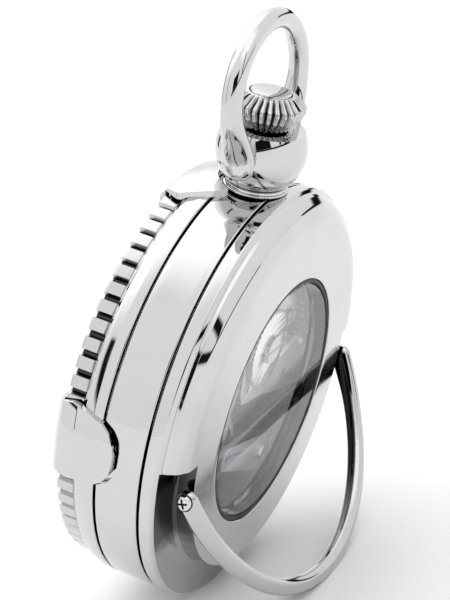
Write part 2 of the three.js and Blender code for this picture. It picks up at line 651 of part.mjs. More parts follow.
add('center_wheel', arboredWheel({
  at: centreAt,
  wheel: { tip: 4.2, root: 4.0, count: 64, y: [0.8, 1.1] },
  pinion: { tip: 0.75, count: 12, y: [-0.7, 0.7] },
  arbor: { radius: 0.32, y: [-2.2, 3.3] },
}), brass);
add('third_wheel', arboredWheel({
  at: thirdAt,
  wheel: { tip: 3.4, root: 3.2, count: 60, y: [1.2, 1.42] },
  pinion: { tip: 0.75, count: 8, y: [0.65, 1.15] },
  arbor: { radius: 0.25, y: [-2.1, 3.2] },
}), brass);
add('fourth_wheel', arboredWheel({
  at: fourthAt,
  wheel: { tip: 2.9, root: 2.72, count: 70, y: [0.42, 0.68] },
  pinion: { tip: 0.62, count: 8, y: [1.1, 1.5] },
  arbor: { radius: 0.25, y: [-2.1, 3.2] },
}), brass);
add('escape_wheel', arboredWheel({
  at: escapeAt,
  wheel: { tip: 1.9, root: 1.5, count: 15, y: [-0.55, -0.3] },
  pinion: { tip: 0.55, count: 7, y: [0.3, 0.85] },
  arbor: { radius: 0.2, y: [-2.1, 3.2] },
}), greySteel);
add('pallet_fork', palletFork(), greySteel);
add('balance_wheel', balanceWheel(), brass);
add('minute_hand', minuteHand(), blueSteel);
add('hour_hand', hourHand(), blueSteel);
add('minute_wheel', join(
  plate(shifted(points(30, 2.4, 2.2), minuteWheelAt), -2.8, -2.55),
  plate(shifted(teeth(8, 0.7, 0.5), minuteWheelAt), -3.4, -2.7),
), brass);
add('seconds_hand', join(
  hand(fourthAt, 200, 3.2, 0.18, 0.45, -4.12, -4.0),
  rod(0.24, -4.1, -2.3, fourthAt, 10),
), blueSteel);

// ---- lean the watch back and set it down

watch.rotation.x = -lean;
watch.updateMatrixWorld(true);
const bounds = new THREE.Box3().setFromObject(watch, true);
watch.position.set(-(bounds.min.x + bounds.max.x) / 2, -(bounds.min.y + bounds.max.y) / 2, -bounds.min.z);

const pocketWatch = new THREE.Group();
pocketWatch.add(watch);
export default pocketWatch;
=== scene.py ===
# Polished open-back pocket watch leaning on its fold-out stand loop.
# Pieces are drawn upright in millimetres, then set into the row frame:
# x to 3 o'clock, y to the back, z to 12 o'clock.
import json
import math
from contextlib import contextmanager

import bmesh
import bpy
from mathutils import Matrix, Vector


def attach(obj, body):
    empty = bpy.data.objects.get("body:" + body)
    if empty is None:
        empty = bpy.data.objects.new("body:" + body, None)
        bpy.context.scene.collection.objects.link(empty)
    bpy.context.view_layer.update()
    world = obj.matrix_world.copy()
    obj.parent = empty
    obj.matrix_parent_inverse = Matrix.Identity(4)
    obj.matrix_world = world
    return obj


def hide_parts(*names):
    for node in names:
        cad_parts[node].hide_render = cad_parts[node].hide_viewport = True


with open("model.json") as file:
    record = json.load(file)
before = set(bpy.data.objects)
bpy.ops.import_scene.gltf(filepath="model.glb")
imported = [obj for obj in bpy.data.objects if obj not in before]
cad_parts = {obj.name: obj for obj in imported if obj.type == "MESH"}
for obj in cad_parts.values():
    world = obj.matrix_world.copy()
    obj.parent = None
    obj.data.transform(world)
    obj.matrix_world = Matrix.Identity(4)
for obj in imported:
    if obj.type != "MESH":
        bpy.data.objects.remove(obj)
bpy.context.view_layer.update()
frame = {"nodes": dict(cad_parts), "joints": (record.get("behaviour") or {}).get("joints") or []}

joints = {joint["name"]: joint for joint in frame["joints"]}
stemAxis = Vector(joints["crown_turn"]["axis"])
watchCentre = Vector(joints["center_turn"]["pos_m"])
lean = math.atan2(stemAxis.y, stemAxis.z)
turnToRow = Matrix.Rotation(-lean, 4, "X")
millimetre = 0.001
toRow = Matrix.Translation(watchCentre) @ turnToRow @ Matrix.Scale(millimetre, 4)
print("frame loaded, lean", round(math.degrees(lean), 2))


# shader and geometry trees: sockets that add up like numbers

class Value:
    def __init__(self, tree, socket):
        self.tree = tree
        self.socket = socket

    def maths(self, operation, first, second=None, third=None):
        given = [first, second, third]
        inputs = {place: value for place, value in enumerate(given) if value is not None}
        return self.tree.node("ShaderNodeMath", {"operation": operation}, inputs)

    def __add__(self, other):
        return self.maths("ADD", self, other)

    __radd__ = __add__

    def __sub__(self, other):
        return self.maths("SUBTRACT", self, other)

    def __rsub__(self, other):
        return self.maths("SUBTRACT", other, self)

    def __mul__(self, other):
        return self.maths("MULTIPLY", self, other)

    __rmul__ = __mul__

    def __truediv__(self, other):
        return self.maths("DIVIDE", self, other)

    def __pow__(self, other):
        return self.maths("POWER", self, other)

    def sine(self):
        return self.maths("SINE", self)

    def cosine(self):
        return self.maths("COSINE", self)

    def clamped(self):
        return self.maths("MINIMUM", self.maths("MAXIMUM", self, 0.0), 1.0)

    def between(self, low, high):
        return self.tree.node("ShaderNodeMapRange", {"interpolation_type": "SMOOTHSTEP"},
                              {"Value": self, "From Min": low, "From Max": high})

    def within(self, low, high, soft):
        return self.between(low - soft, low + soft) * (1.0 - self.between(high - soft, high + soft))


class Tree:
    def __init__(self, nodeTree):
        self.nodeTree = nodeTree

    def node(self, kind, settings=None, inputs=None, output=0):
        made = self.nodeTree.nodes.new(kind)
        for name, value in (settings or {}).items():
            setattr(made, name, value)
        for name, value in (inputs or {}).items():
            if isinstance(value, Value):
                self.nodeTree.links.new(value.socket, made.inputs[name])
            else:
                made.inputs[name].default_value = value
        if not made.outputs:
            return made
        return Value(self, made.outputs[output])

    def part(self, value, output):
        return Value(self, value.socket.node.outputs[output])

    def axes(self, vector):
        split = self.node("ShaderNodeSeparateXYZ", None, {"Vector": vector})
        return [self.part(split, axis) for axis in ("X", "Y", "Z")]


# finishes

def newFinish(name):
    material = bpy.data.materials.new(name)
    material.use_nodes = True
    material.node_tree.nodes.clear()
    tree = Tree(material.node_tree)
    tree.material = material
    return tree


def watchPlace(tree):
    # object coordinates turned upright and centred on the watch
    place = tree.node("ShaderNodeTexCoord", output="Object")
    return tree.node("ShaderNodeMapping", {"vector_type": "TEXTURE"}, {
        "Vector": place, "Location": watchCentre, "Rotation": (-lean, 0.0, 0.0), "Scale": (millimetre,) * 3})


def noise(tree, place, scale, detail=3.0, roughness=0.5):
    return tree.node("ShaderNodeTexNoise", None, {
        "Vector": place, "Scale": scale, "Detail": detail, "Roughness": roughness})


def colourMix(tree, factor, first, second):
    first, second = [value if isinstance(value, Value) else (*value, 1.0) for value in (first, second)]
    return tree.node("ShaderNodeMix", {"data_type": "RGBA"}, {0: factor, 6: first, 7: second}, 2)


def painted(tree, colour, metallic, roughness, height=None, distance=0.0, strength=0.5, alpha=1.0):
    inputs = {"Base Color": colour, "Metallic": metallic, "Roughness": roughness, "Alpha": alpha}
    if height is not None:
        inputs["Normal"] = tree.node("ShaderNodeBump", None, {
            "Height": height, "Distance": distance, "Strength": strength})
    shader = tree.node("ShaderNodeBsdfPrincipled", None, inputs)
    tree.node("ShaderNodeOutputMaterial", None, {"Surface": shader})
    return tree.material


polishBump = 0.0000012
finishes = {
    "mirrorSteel": {"colour": (0.60, 0.60, 0.605), "smudge": (0.53, 0.532, 0.54), "gloss": 0.02,
                    "dull": 0.06},
    "loopSteel": {"colour": (0.56, 0.56, 0.565), "smudge": (0.48, 0.482, 0.49), "gloss": 0.03, "dull": 0.08},
    "screwSteel": {"colour": (0.66, 0.66, 0.68), "smudge": (0.50, 0.50, 0.52), "gloss": 0.10, "dull": 0.24},
    "darkSteel": {"colour": (0.13, 0.13, 0.135), "smudge": (0.07, 0.07, 0.075), "gloss": 0.12, "dull": 0.3},
}


def polished(name, values):
    # mirror polish with faint wiping marks, hairlines and slightly dull patches
    tree = newFinish(name)
    place = watchPlace(tree)
    cloud = noise(tree, place, 0.16, 4.0)
    fine = noise(tree, place, 1.7, 5.0, 0.62)
    wiped = tree.node("ShaderNodeMapping", None, {"Vector": place, "Rotation": (0.3, 0.5, 0.2),
                                                  "Scale": (9.0, 0.5, 0.9)})
    hairs = noise(tree, wiped, 1.3, 6.0, 0.7)
    dull = (cloud.between(0.46, 0.72) * 0.6 + fine.between(0.52, 0.78) * 0.4).clamped()
    roughness = dull * (values["dull"] - values["gloss"]) + values["gloss"]
    colour = colourMix(tree, dull * 0.55, values["colour"], values["smudge"])
    return painted(tree, colour, 1.0, roughness, hairs, polishBump)


def groovedSteel(name, values, paintedShade, start, full):
    # mirror polish with painted shade in its cut grooves
    tree = newFinish(name)
    place = watchPlace(tree)
    groove = tree.node("ShaderNodeAttribute", {"attribute_name": "groove"}, None, "Fac").between(start, full)
    fine = noise(tree, place, 1.7, 5.0, 0.62)
    bright = colourMix(tree, fine, values["colour"], values["smudge"])
    return painted(tree, colourMix(tree, groove, bright, paintedShade), 1.0,
                   groove * 0.16 + fine * 0.03 + values["gloss"], fine, polishBump)


def wireSteel(name, values, paintedShade, side):
    # polished wire with painted shade, a dark reflection, along the inner side of its far leg
    tree = newFinish(name)
    place = watchPlace(tree)
    x, y, z = tree.axes(place)
    normalX, normalY, normalZ = tree.axes(tree.node("ShaderNodeTexCoord", output="Normal"))
    facing = normalX * side[0] + normalY * side[1]
    fine = noise(tree, place, 1.7, 5.0, 0.62)
    # painted shade mask: the wire's side that faces the given direction, on its far leg
    shaded = (facing + fine * 0.12).between(0.22, 0.46) * (1.0 - x.between(-15.0, -5.0))
    bright = colourMix(tree, fine, values["colour"], values["smudge"])
    return painted(tree, colourMix(tree, shaded, bright, paintedShade), 1.0,
                   fine * (values["dull"] - values["gloss"]) + values["gloss"], fine, polishBump)


def shadedSteel(name, values, paintedShade, low, high):
    # painted shade in the back's channel, darkest at its upper end where the loop folds in
    tree = newFinish(name)
    place = watchPlace(tree)
    x, y, z = tree.axes(place)
    patch = noise(tree, place, 0.9, 4.0, 0.6)
    deep = (z + patch * 2.0 - 1.0).between(low, high)
    bright = colourMix(tree, patch, values["smudge"], (0.34, 0.34, 0.345))
    return painted(tree, colourMix(tree, deep, bright, paintedShade), 1.0,
                   deep * 0.1 + patch * 0.14 + values["gloss"], patch, 0.000004)


def turnedSteel(name, values, inner, outer):
    # the back's face: mirror with very fine rings left by turning
    tree = newFinish(name)
    place = watchPlace(tree)
    x, y, z = tree.axes(place)
    radius = (x * x + z * z) ** 0.5
    onFace = radius.between(inner, inner + 0.4) * (1.0 - radius.between(outer - 0.8, outer))
    onFace = onFace * y.between(6.7, 6.95)
    along = tree.node("ShaderNodeCombineXYZ", None, {"X": radius * 26.0, "Y": y * 0.4, "Z": 0.0})
    rings = noise(tree, along, 1.0, 5.0, 0.75)
    cloud = noise(tree, place, 0.16, 4.0)
    dull = cloud.between(0.42, 0.75)
    roughness = onFace * 0.07 + dull * 0.035 + values["gloss"]
    colour = colourMix(tree, dull * 0.5, values["colour"], values["smudge"])
    return painted(tree, colour, 1.0, roughness, rings * onFace, 0.0000016, 0.6)


def grainedPlate(name, light, shade, stripeWidth=0.9, roughness=0.28):
    # movement plates: fine diagonal stripes with a soft grain
    tree = newFinish(name)
    place = watchPlace(tree)
    x, y, z = tree.axes(place)
    stripe = ((x * 0.8 + z * 0.6) * (2 * math.pi / stripeWidth)).sine() * 0.5 + 0.5
    grain = noise(tree, place, 7.0, 5.0, 0.65)
    tone = (stripe * 0.45 + grain * 0.55).clamped()
    return painted(tree, colourMix(tree, tone, shade, light), 0.85, tone * 0.14 + roughness,
                   stripe * 0.6 + grain * 0.4, 0.000012)


def circularGrained(name, light, shade, wheel, roughness=0.2, pitch=14.0):
    # wheels: grain that runs round their own centre
    tree = newFinish(name)
    centre = movementPlaces[wheel]
    place = watchPlace(tree)
    x, y, z = tree.axes(place)
    x, z = x - centre[0], z - centre[1]
    radius = (x * x + z * z) ** 0.5
    along = tree.node("ShaderNodeCombineXYZ", None, {"X": radius * pitch, "Y": 0.0, "Z": 0.0})
    rings = noise(tree, along, 1.0, 4.0, 0.7)
    grain = noise(tree, place, 3.0, 4.0)
    tone = (rings * 0.6 + grain * 0.4).clamped()
    return painted(tree, colourMix(tree, tone, shade, light), 1.0, tone * 0.16 + roughness, rings, 0.000008)


def speckled(name, light, shade, roughness, metallic, scale, bump=0.000006):
    # one tone with a soft mottle: enamel, seal and springs
    tree = newFinish(name)
    place = watchPlace(tree)
    mottle = noise(tree, place, scale, 5.0, 0.6)
    return painted(tree, colourMix(tree, mottle, shade, light), metallic, mottle * 0.12 + roughness,
                   mottle, bump, 0.4)


def clearGlass(name, tint, straightOn, steepness, smear=0.02):
    # clear when looked at straight, mirror-like at a grazing look
    tree = newFinish(name)
    place = watchPlace(tree)
    marks = noise(tree, place, 0.35, 4.0)
    facing = tree.node("ShaderNodeLayerWeight", None, {"Blend": 0.5}, "Facing")
    mirror = (facing ** steepness) * (1.0 - straightOn) + straightOn
    return painted(tree, colourMix(tree, marks, tint, (1.0, 1.0, 1.0)), 1.0, marks * smear + 0.005,
                   alpha=mirror)


mirrorSteel = polished("mirror_steel", finishes["mirrorSteel"])
# the loop's painted shade lies on its side facing (0.75, -0.66) in the watch's x and y, a direction set from
# where the camera stands
loopSteel = wireSteel("loop_steel", finishes["loopSteel"], (0.030, 0.030, 0.032), (0.75, -0.66))
screwSteel = polished("screw_steel", finishes["screwSteel"])
# painted shade for the loop's screw seats and the screws' cross recesses
darkSteel = polished("recess_shade_steel", finishes["darkSteel"])
# the ring's grooves get painted shade, mixed in by the groove depth
ringSteel = groovedSteel("ring_steel", finishes["mirrorSteel"], (0.045, 0.045, 0.048), 0.45, 0.95)
# the channel's faces get painted shade
channelShadeSteel = shadedSteel("channel_shade_steel", finishes["mirrorSteel"], (0.075, 0.075, 0.08), -12.0, -8.5)
# the crown's flutes get painted shade, mixed in by the groove depth
crownSteel = groovedSteel("crown_steel", finishes["mirrorSteel"], (0.07, 0.07, 0.075), 0.45, 0.95)
backSteel = turnedSteel("back_steel", finishes["mirrorSteel"], 15.0, 21.4)
plateNickel = grainedPlate("plate_nickel", (0.72, 0.71, 0.77), (0.44, 0.435, 0.49))
groundNickel = grainedPlate("ground_nickel", (0.26, 0.255, 0.29), (0.13, 0.128, 0.15), 1.4, 0.36)
springSteel = speckled("spring_steel", (0.50, 0.50, 0.53), (0.34, 0.34, 0.37), 0.25, 1.0, 2.0)
bluedSteel = speckled("blued_steel", (0.035, 0.075, 0.24), (0.02, 0.045, 0.15), 0.18, 1.0, 1.2)
sealRubber = speckled("seal_rubber", (0.022, 0.022, 0.023), (0.010, 0.010, 0.011), 0.5, 0.0, 6.0)
dialEnamel = speckled("dial_enamel", (0.92, 0.91, 0.88), (0.88, 0.87, 0.835), 0.16, 0.0, 0.5, 0.000002)
dialInk = speckled("dial_ink", (0.030, 0.030, 0.034), (0.012, 0.012, 0.014), 0.3, 0.0, 3.0)
windowGlass = clearGlass("window_glass", (0.88, 0.885, 0.91), 0.035, 5.0, 0.004)
frontGlass = clearGlass("front_glass", (0.95, 0.955, 0.965), 0.04, 4.6)
print("finishes made")


# mesh tools, in upright millimetres

def objectOf(name, data):
    made = bpy.data.objects.new(name, data)
    bpy.context.scene.collection.objects.link(made)
    return made


@contextmanager
def reworked(mesh):
    build = bmesh.new()
    build.from_mesh(mesh)
    yield build
    build.to_mesh(mesh)
    build.free()


def rounded(corners, steps=5):
    # closed outline from (x, y, fillet radius); a zero fillet keeps the corner sharp
    outline = []
    count = len(corners)
    for place, (x, y, fillet) in enumerate(corners):
        here = Vector((x, y))
        before = Vector(corners[place - 1][:2]) - here
        after = Vector(corners[(place + 1) % count][:2]) - here
        turn = before.angle(after) if fillet > 0 else math.pi
        if fillet <= 0 or turn > math.pi - 0.02:
            outline.append(tuple(here))
            continue
        reach = min(fillet / math.tan(turn / 2), before.length * 0.48, after.length * 0.48)
        radius = reach * math.tan(turn / 2)
        halfway = (before.normalized() + after.normalized()).normalized()
        middle = here + halfway * (radius / math.sin(turn / 2))
        first = here + before.normalized() * reach - middle
        last = here + after.normalized() * reach - middle
        sweep = math.atan2(first.x * last.y - first.y * last.x, first.dot(last))
        for step in range(steps + 1):
            angle = sweep * step / steps
            spun = Vector((first.x * math.cos(angle) - first.y * math.sin(angle),
                           first.x * math.sin(angle) + first.y * math.cos(angle)))
            outline.append(tuple(middle + spun))
    return outline


def densified(points, longest):
    # extra points along long straight runs, so that shading stays even
    dense = []
    for place, point in enumerate(points):
        following = points[(place + 1) % len(points)]
        length = math.dist(point, following)
        pieces = max(1, int(math.ceil(length / longest)))
        for step in range(pieces):
            share = step / pieces
            dense.append(tuple(here + (there - here) * share for here, there in zip(point, following)))
    return dense


def meshOf(name, verts, faces):
    mesh = bpy.data.meshes.new(name)
    mesh.from_pydata([tuple(v) for v in verts], [], [tuple(f) for f in faces])
    with reworked(mesh) as build:
        bmesh.ops.remove_doubles(build, verts=build.verts, dist=1e-4)
        bmesh.ops.dissolve_degenerate(build, edges=build.edges, dist=1e-5)
        bmesh.ops.recalc_face_normals(build, faces=build.faces)
    return objectOf(name, mesh)


def lathe(name, outline, steps=192, upright=False, capped=False):
    # outline of (radius, height) turned about the watch's y axis, or its z axis when upright
    count = len(outline)
    verts = []
    for step in range(steps):
        angle = 2 * math.pi * step / steps
        for radius, height in outline:
            x, side = radius * math.cos(angle), radius * math.sin(angle)
            verts.append((x, side, height) if upright else (x, height, side))
    faces = []
    last = count - 1 if capped else count
    for step in range(steps):
        here, there = step * count, ((step + 1) % steps) * count
        for place in range(last):
            following = (place + 1) % count
            faces.append((here + place, there + place, there + following, here + following))
    return meshOf(name, verts, faces)


def rod(name, start, end, radius, sides=32):
    start, end = Vector(start), Vector(end)
    turn = (end - start).to_track_quat("Z", "Y")
    angles = [2 * math.pi * k / sides for k in range(sides)]
    verts = [point + turn @ Vector((radius * math.cos(angle), radius * math.sin(angle), 0))
             for point in (start, end) for angle in angles]
    faces = [(k, (k + 1) % sides, sides + (k + 1) % sides, sides + k) for k in range(sides)]
    faces += [tuple(range(sides)), tuple(range(sides, 2 * sides))]
    return meshOf(name, verts, faces)


def slab(name, size, centre, turnX=0.0):
    half = [value / 2 for value in size]
    turn = Matrix.Rotation(turnX, 3, "X")
    verts = [turn @ Vector((x, y, z)) + Vector(centre)
             for x in (-half[0], half[0]) for y in (-half[1], half[1]) for z in (-half[2], half[2])]
    faces = [(0, 1, 3, 2), (4, 6, 7, 5), (0, 4, 5, 1), (2, 3, 7, 6), (0, 2, 6, 4), (1, 5, 7, 3)]
    return meshOf(name, verts, faces)


def pushed(name, outline, depth, matrix):
    # a flat outline (x, y) given depth along z, then placed
    count = len(outline)
    verts = [matrix @ Vector((x, y, z)) for z in (0, depth) for x, y in outline]
    faces = [(k, (k + 1) % count, count + (k + 1) % count, count + k) for k in range(count)]
    faces += [tuple(range(count)), tuple(range(count, 2 * count))]
    return meshOf(name, verts, faces)


def swept(name, path, acrossAt, sizes, sides=24):
    # a tube along path; acrossAt gives its width direction, sizes its (width, height) half sizes
    verts, faces = [], []
    for place, point in enumerate(path):
        ahead = path[min(place + 1, len(path) - 1)] - path[max(place - 1, 0)]
        ahead.normalize()
        across = acrossAt(place)
        across = (across - ahead * across.dot(ahead)).normalized()
        rise = ahead.cross(across)
        wide, high = sizes[place]
        for k in range(sides):
            angle = 2 * math.pi * k / sides
            verts.append(point + across * (wide * math.cos(angle)) + rise * (high * math.sin(angle)))
    for place in range(len(path) - 1):
        for k in range(sides):
            here, there = place * sides, (place + 1) * sides
            faces.append((here + k, here + (k + 1) % sides, there + (k + 1) % sides, there + k))
    faces += [tuple(range(sides)), tuple(range(len(verts) - sides, len(verts)))]
    return meshOf(name, verts, faces)


def settled(piece):
    # live modifiers become plain mesh
    bpy.context.view_layer.update()
    graph = bpy.context.evaluated_depsgraph_get()
    mesh = bpy.data.meshes.new_from_object(piece.evaluated_get(graph), preserve_all_data_layers=True,
                                           depsgraph=graph)
    piece.modifiers.clear()
    piece.data = mesh
    return piece


def combined(piece, others, operation):
    for other in others:
        step = piece.modifiers.new("shape", "BOOLEAN")
        step.operation = operation
        step.solver = "EXACT"
        step.object = other
    settled(piece)
    for other in others:
        bpy.data.objects.remove(other)
    return piece


def cut(piece, cutters, others=()):
    # what the cutters leave bare takes the piece's second finish, which here is always painted shade
    for one in (piece, *cutters):
        for _ in range(2):
            one.data.materials.append(mirrorSteel)
    for one in cutters:
        for face in one.data.polygons:
            face.material_index = 1
    return combined(piece, [*cutters, *others], "DIFFERENCE")


def eased(piece, width, segments=3, angle=35.0):
    step = piece.modifiers.new("ease", "BEVEL")
    step.width = width
    step.segments = segments
    step.limit_method = "ANGLE"
    step.angle_limit = math.radians(angle)
    step.use_clamp_overlap = True
    step.miter_outer = "MITER_ARC"
    return settled(piece)


def finished(piece, material, body, replaces=(), smoothBelow=32.0, placed=False):
    # into the row frame, shaded, painted and riding on its body
    if not placed:
        piece.data.transform(toRow)
    mesh = piece.data
    with reworked(mesh) as build:
        bmesh.ops.remove_doubles(build, verts=build.verts, dist=1e-7)
        bmesh.ops.recalc_face_normals(build, faces=build.faces)
    several = material if isinstance(material, list) else [material]
    kept = [min(face.material_index, len(several) - 1) for face in mesh.polygons]
    mesh.materials.clear()
    for one in several:
        mesh.materials.append(one)
    for face, index in zip(mesh.polygons, kept):
        face.material_index = index
        face.use_smooth = True
    mesh.set_sharp_from_angle(angle=math.radians(smoothBelow))
    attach(piece, body)
    if replaces:
        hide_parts(*replaces)
    return piece


# geometry trees for what repeats

def geometryTree(name, inputs):
    group = bpy.data.node_groups.new(name, "GeometryNodeTree")
    group.interface.new_socket("Geometry", in_out="INPUT", socket_type="NodeSocketGeometry")
    for label, kind, value in inputs:
        socket = group.interface.new_socket(label, in_out="INPUT", socket_type=kind)
        if value is not None:
            socket.default_value = value
    group.interface.new_socket("Geometry", in_out="OUTPUT", socket_type="NodeSocketGeometry")
    tree = Tree(group)
    start = group.nodes.new("NodeGroupInput")
    return group, tree, {socket.name: Value(tree, socket) for socket in start.outputs if socket.name}


def endTree(tree, geometry, material):
    solid = tree.node("GeometryNodeRealizeInstances", None, {"Geometry": geometry})
    painted = tree.node("GeometryNodeSetMaterial", None, {"Geometry": solid, "Material": material})
    tree.node("NodeGroupOutput", None, {"Geometry": painted})


def runTree(piece, group, values):
    step = piece.modifiers.new("build", "NODES")
    step.node_group = group
    sockets = {item.name: item.identifier for item in group.interface.items_tree if item.in_out == "INPUT"}
    for label, value in values.items():
        step[sockets[label]] = value
    return settled(piece)


def flutingTree():
    # presses flutes or teeth into a turned body round its z axis
    group, tree, given = geometryTree("fluting", [
        ("Count", "NodeSocketInt", 24), ("Depth", "NodeSocketFloat", 0.3),
        ("Squareness", "NodeSocketFloat", 1.0),
        ("Fullness", "NodeSocketFloat", 0.5), ("Land", "NodeSocketFloat", 0.0),
        ("Material", "NodeSocketMaterial", None)])
    x, y, z = tree.axes(tree.node("GeometryNodeInputPosition"))
    radius = (x * x + y * y) ** 0.5
    angle = x.maths("ARCTAN2", y, x)
    wave = (angle * given["Count"]).cosine() * given["Squareness"] * 0.5 + given["Land"] + 0.5
    lobe = wave.clamped() ** given["Fullness"]
    weight = tree.node("GeometryNodeInputNamedAttribute", {"data_type": "FLOAT"}, {"Name": "flute"})
    shrink = 1.0 - (1.0 - lobe) * weight * given["Depth"] / radius.maths("MAXIMUM", radius, 0.001)
    moved = tree.node("ShaderNodeCombineXYZ", None, {"X": x * shrink, "Y": y * shrink, "Z": z})
    # the groove depth is kept for the finish, which paints shade into the grooves
    body = tree.node("GeometryNodeStoreNamedAttribute", {"data_type": "FLOAT", "domain": "POINT"}, {
        "Geometry": given["Geometry"], "Name": "groove", "Value": (1.0 - lobe) * weight})
    body = tree.node("GeometryNodeSetPosition", None, {"Geometry": body, "Position": moved})
    endTree(tree, body, given["Material"])
    return group


def fluted(name, outline, weights, steps, values, material):
    # outline of (radius, height) about z, with a flute weight for each of its points
    body = lathe(name, outline, steps, upright=True)
    flute = body.data.attributes.new("flute", "FLOAT", "POINT")
    lookup = {(round(r, 3), round(h, 3)): w for (r, h), w in zip(outline, weights)}
    for vertex, item in zip(body.data.vertices, flute.data):
        key = (round(math.hypot(vertex.co.x, vertex.co.y), 3), round(vertex.co.z, 3))
        near = min(lookup, key=lambda k: abs(k[0] - key[0]) + abs(k[1] - key[1]))
        item.value = lookup[near]
    return runTree(body, fluting, {**values, "Material": material})


def scatterTree():
    # a small piece set on every point of a mesh, turned by a seeded amount
    group, tree, given = geometryTree("setOnPoints", [
        ("Piece", "NodeSocketObject", None), ("Turn", "NodeSocketFloat", 6.28), ("Seed", "NodeSocketInt", 3),
        ("Material", "NodeSocketMaterial", None)])
    shape = tree.node("GeometryNodeObjectInfo", {"transform_space": "ORIGINAL"}, {"Object": given["Piece"]},
                      "Geometry")
    chance = tree.node("FunctionNodeRandomValue", {"data_type": "FLOAT"},
                       {2: 0.0, 3: given["Turn"], "Seed": given["Seed"]}, 1)
    turn = tree.node("ShaderNodeCombineXYZ", None, {"X": 0.0, "Y": chance, "Z": 0.0})
    placed = tree.node("GeometryNodeInstanceOnPoints", None, {
        "Points": given["Geometry"], "Instance": shape, "Rotation": turn})
    endTree(tree, placed, given["Material"])
    return group


def markerTree():
    # minute track: bars round a circle, every fifth one bolder
    group, tree, given = geometryTree("minuteTrack", [
        ("Count", "NodeSocketInt", 60), ("Radius", "NodeSocketFloat", 19.0),
        ("Bar", "NodeSocketVector", (0.12, 1.0, 0.05)),
        ("Bold", "NodeSocketFloat", 2.6), ("Material", "NodeSocketMaterial", None)])
    ring = tree.node("GeometryNodeMeshCircle", None, {"Vertices": given["Count"], "Radius": given["Radius"]})
    index = tree.node("GeometryNodeInputIndex")
    angle = index * (2 * math.pi) / given["Count"]
    fifth = 1.0 - index.maths("MODULO", index, 5.0).clamped()
    turn = tree.node("ShaderNodeCombineXYZ", None, {"X": 0.0, "Y": 0.0, "Z": angle - math.pi / 2})
    size = tree.node("ShaderNodeCombineXYZ", None, {"X": fifth * (given["Bold"] - 1.0) + 1.0, "Y": 1.0,
                                                    "Z": 1.0})
    bar = tree.node("GeometryNodeMeshCube", None, {"Size": given["Bar"]})
    placed = tree.node("GeometryNodeInstanceOnPoints", None, {
        "Points": ring, "Instance": bar, "Rotation": turn, "Scale": size})
    endTree(tree, placed, given["Material"])
    return group


fluting = flutingTree()
setOnPoints = scatterTree()
minuteTrack = markerTree()
print("node trees made")


# lugs and the cutters that leave room for them

lugShape = {
    "shell": [(21.9, -8.75, 0.3), (23.7, -8.75, 0.9), (25.0, -7.7, 1.2), (25.75, -5.7, 2.0),
              (26.05, -3.2, 2.0),
              (25.95, -0.5, 0.3), (25.06, -0.5, 0.0), (25.06, -4.3, 0.0), (24.8, -5.2, 0.0),
              (24.5, -5.75, 0.0),
              (24.5, -8.06, 0.0), (21.9, -8.06, 0.0)],
    "thumb": [(4.0, -8.8), (4.6, -6.4), (3.75, -2.6), (2.9, -1.5), (1.7, -0.75), (0.6, -0.55)],
    "wing": [(5.6, -8.8), (6.8, -6.2), (5.3, -2.7), (4.1, -1.5), (2.2, -0.75), (0.7, -0.55)],
    "hinge": [(4.0, -8.8), (4.6, -6.4), (3.75, -3.6)],
    "angles": {"lid_lug_3": 2, "lid_lug_9": 178, "lid_lug_12": 90, "lid_lug_6": 270},
    "edge": 0.5, "foot": 24.7, "crest": 26.0, "fall": 0.62,
}


def lugBlank(name, half, degrees, grow=0.0):
    right = [(s + grow, y + (grow if y > -2 else 0)) for s, y in half]
    left = [(-s, y) for s, y in reversed(right)]
    corners = [(s, y, 0.9 if y > -8 else 0.0) for s, y in right + left]
    angle = math.pi / 2 - math.radians(degrees)
    matrix = Matrix.Rotation(angle, 4, "Y") @ Matrix.Translation((0, 0, 19))
    return pushed(name, rounded(corners, 6), 10, matrix)


hinge = {"axis": (-25.6, -2.0), "knuckle": 1.0, "room": 1.15, "pin": 0.42, "pinHalf": 4.2}


def knuckle(name, low, high, radius=hinge["knuckle"], sides=40):
    return rod(name, (*hinge["axis"], low), (*hinge["axis"], high), radius, sides)


def crowned(body, degrees, half):
    # the outer face falls away towards both sides, like a pillow
    for vertex in body.data.vertices:
        radius = math.hypot(vertex.co.x, vertex.co.z)
        turned = math.atan2(vertex.co.z, vertex.co.x) - math.radians(degrees)
        turned = (turned + math.pi) % (2 * math.pi) - math.pi
        share = min(1.0, abs(radius * turned) / half)
        raised = min(1.0, max(0.0, (radius - lugShape["foot"]) / (lugShape["crest"] - lugShape["foot"])))
        shrink = 1.0 - lugShape["fall"] * share ** 2.4 * raised / radius
        vertex.co.x *= shrink
        vertex.co.z *= shrink
    return body


def lug(node, half, cutters=()):
    body = lathe(node + "_piece", densified(rounded(lugShape["shell"], 6), 0.45), 540)
    body = combined(body, [lugBlank("blank", half, lugShape["angles"][node])], "INTERSECT")
    if cutters:
        combined(body, list(cutters), "DIFFERENCE")
    eased(body, lugShape["edge"], 6, 38.0)
    crowned(body, lugShape["angles"][node], max(side for side, _ in half))
    return finished(body, mirrorSteel, "lid", [node], 42.0)


lug("lid_lug_3", lugShape["thumb"])
lug("lid_lug_6", lugShape["wing"])
lug("lid_lug_9", lugShape["hinge"], [knuckle("room", -5, 5, 1.2)])
lug("lid_lug_12", lugShape["wing"], [rod("room", (0, 0, 20), (0, 0, 30), 4.3, 64)])
print("lugs made")


# lid: frame, milled ring and glass

